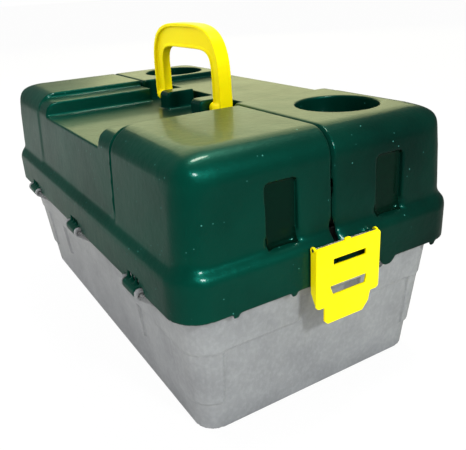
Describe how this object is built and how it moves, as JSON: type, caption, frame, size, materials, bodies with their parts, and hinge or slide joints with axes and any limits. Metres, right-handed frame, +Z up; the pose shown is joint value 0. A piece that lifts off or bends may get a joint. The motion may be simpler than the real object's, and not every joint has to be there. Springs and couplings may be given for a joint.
{
  "type": "fishing tackle box",
  "caption": "Hip-roof tackle box: a tub, two side-hinged lids meeting on the centre line, folding handle, end latches and cantilever trays on parallel arms.",
  "frame": {"origin": "middle of the foot, on the surface that the box stands on", "axes": "+Z up, +Y along the box away from the end that the picture shows, +X across the box towards the lid with the can recesses"},
  "size_m": [0.2714, 0.468, 0.287],
  "materials": {
    "tub_grey": "satin, faintly mottled",
    "lid_green": "semi-gloss, fine grain",
    "handle_yellow": "semi-gloss",
    "tray_grey": "satin",
    "arm_steel": "zinc plated"
  },
  "bodies": {
    "base": {"base_tub": "tub_grey", "left_hinge_pins": "arm_steel", "right_hinge_pins": "arm_steel"},
    "left_lid": {"left_lid": "lid_green"},
    "right_lid": {"right_lid": "lid_green", "front_latch_pin": "arm_steel", "rear_latch_pin": "arm_steel"},
    "handle": {"carry_handle": "handle_yellow"},
    "front_latch": {"front_latch": "handle_yellow"},
    "rear_latch": {"rear_latch": "handle_yellow"},
    "left_outer_arms": {"left_front_outer_arm": "arm_steel", "left_rear_outer_arm": "arm_steel", "left_outer_rivets": "arm_steel"},
    "left_inner_arms": {"left_front_inner_arm": "arm_steel", "left_rear_inner_arm": "arm_steel", "left_inner_rivets": "arm_steel"},
    "left_lower_tray": {"left_lower_tray": "tray_grey", "left_lower_dividers": "tray_grey"},
    "left_middle_tray": {"left_middle_tray": "tray_grey", "left_middle_dividers": "tray_grey"},
    "left_upper_tray": {"left_upper_tray": "tray_grey", "left_upper_dividers": "tray_grey"},
    "right_outer_arms": {"right_front_outer_arm": "arm_steel", "right_rear_outer_arm": "arm_steel", "right_outer_rivets": "arm_steel"},
    "right_inner_arms": {"right_front_inner_arm": "arm_steel", "right_rear_inner_arm": "arm_steel", "right_inner_rivets": "arm_steel"},
    "right_lower_tray": {"right_lower_tray": "tray_grey", "right_lower_dividers": "tray_grey"},
    "right_middle_tray": {"right_middle_tray": "tray_grey", "right_middle_dividers": "tray_grey"},
    "right_upper_tray": {"right_upper_tray": "tray_grey", "right_upper_dividers": "tray_grey"}
  },
  "joints": [
    {"name": "left_lid_hinge", "type": "hinge", "parent": "base", "child": "left_lid", "pos_m": [-0.1312, 0, 0.112], "axis": [0, -1, 0], "range_deg": [0, 112]},
    {"name": "right_lid_hinge", "type": "hinge", "parent": "base", "child": "right_lid", "pos_m": [0.1312, 0, 0.112], "axis": [0, 1, 0], "range_deg": [0, 112]},
    {"name": "handle_fold", "type": "hinge", "parent": "left_lid", "child": "handle", "pos_m": [0.0053, 0, 0.213], "axis": [0, -1, 0], "range_deg": [0, 90]},
    {"name": "front_latch_swing", "type": "hinge", "parent": "right_lid", "child": "front_latch", "pos_m": [0.004, -0.2293, 0.1421], "axis": [-1, 0, 0], "range_deg": [0, 95]},
    {"name": "rear_latch_swing", "type": "hinge", "parent": "right_lid", "child": "rear_latch", "pos_m": [0.004, 0.2293, 0.1421], "axis": [1, 0, 0], "range_deg": [0, 95]},
    {"name": "left_outer_arm_pivot", "type": "hinge", "parent": "base", "child": "left_outer_arms", "pos_m": [-0.096, 0, 0.0925], "axis": [0, -1, 0], "range_deg": [0, 63]},
    {"name": "left_inner_arm_pivot", "type": "hinge", "parent": "base", "child": "left_inner_arms", "pos_m": [-0.079, 0, 0.0925], "axis": [0, -1, 0], "range_deg": [0, 63]},
    {"name": "left_lower_tray_pivot", "type": "hinge", "parent": "left_outer_arms", "child": "left_lower_tray", "pos_m": [-0.063, 0, 0.1305], "axis": [0, -1, 0], "range_deg": [-63, 0]},
    {"name": "left_middle_tray_pivot", "type": "hinge", "parent": "left_outer_arms", "child": "left_middle_tray", "pos_m": [-0.0485, 0, 0.1555], "axis": [0, -1, 0], "range_deg": [-63, 0]},
    {"name": "left_upper_tray_pivot", "type": "hinge", "parent": "left_outer_arms", "child": "left_upper_tray", "pos_m": [-0.034, 0, 0.1805], "axis": [0, -1, 0], "range_deg": [-63, 0]},
    {"name": "right_outer_arm_pivot", "type": "hinge", "parent": "base", "child": "right_outer_arms", "pos_m": [0.096, 0, 0.0925], "axis": [0, 1, 0], "range_deg": [0, 63]},
    {"name": "right_inner_arm_pivot", "type": "hinge", "parent": "base", "child": "right_inner_arms", "pos_m": [0.079, 0, 0.0925], "axis": [0, 1, 0], "range_deg": [0, 63]},
    {"name": "right_lower_tray_pivot", "type": "hinge", "parent": "right_outer_arms", "child": "right_lower_tray", "pos_m": [0.063, 0, 0.1305], "axis": [0, 1, 0], "range_deg": [-63, 0]},
    {"name": "right_middle_tray_pivot", "type": "hinge", "parent": "right_outer_arms", "child": "right_middle_tray", "pos_m": [0.0485, 0, 0.1555], "axis": [0, 1, 0], "range_deg": [-63, 0]},
    {"name": "right_upper_tray_pivot", "type": "hinge", "parent": "right_outer_arms", "child": "right_upper_tray", "pos_m": [0.034, 0, 0.1805], "axis": [0, 1, 0], "range_deg": [-63, 0]}
  ],
  "couplings": [
    {"joint": "left_outer_arm_pivot", "follows": "left_lid_hinge", "ratio": 0.5625},
    {"joint": "left_inner_arm_pivot", "follows": "left_lid_hinge", "ratio": 0.5625},
    {"joint": "left_lower_tray_pivot", "follows": "left_lid_hinge", "ratio": -0.5625},
    {"joint": "left_middle_tray_pivot", "follows": "left_lid_hinge", "ratio": -0.5625},
    {"joint": "left_upper_tray_pivot", "follows": "left_lid_hinge", "ratio": -0.5625},
    {"joint": "right_outer_arm_pivot", "follows": "right_lid_hinge", "ratio": 0.5625},
    {"joint": "right_inner_arm_pivot", "follows": "right_lid_hinge", "ratio": 0.5625},
    {"joint": "right_lower_tray_pivot", "follows": "right_lid_hinge", "ratio": -0.5625},
    {"joint": "right_middle_tray_pivot", "follows": "right_lid_hinge", "ratio": -0.5625},
    {"joint": "right_upper_tray_pivot", "follows": "right_lid_hinge", "ratio": -0.5625}
  ]
}
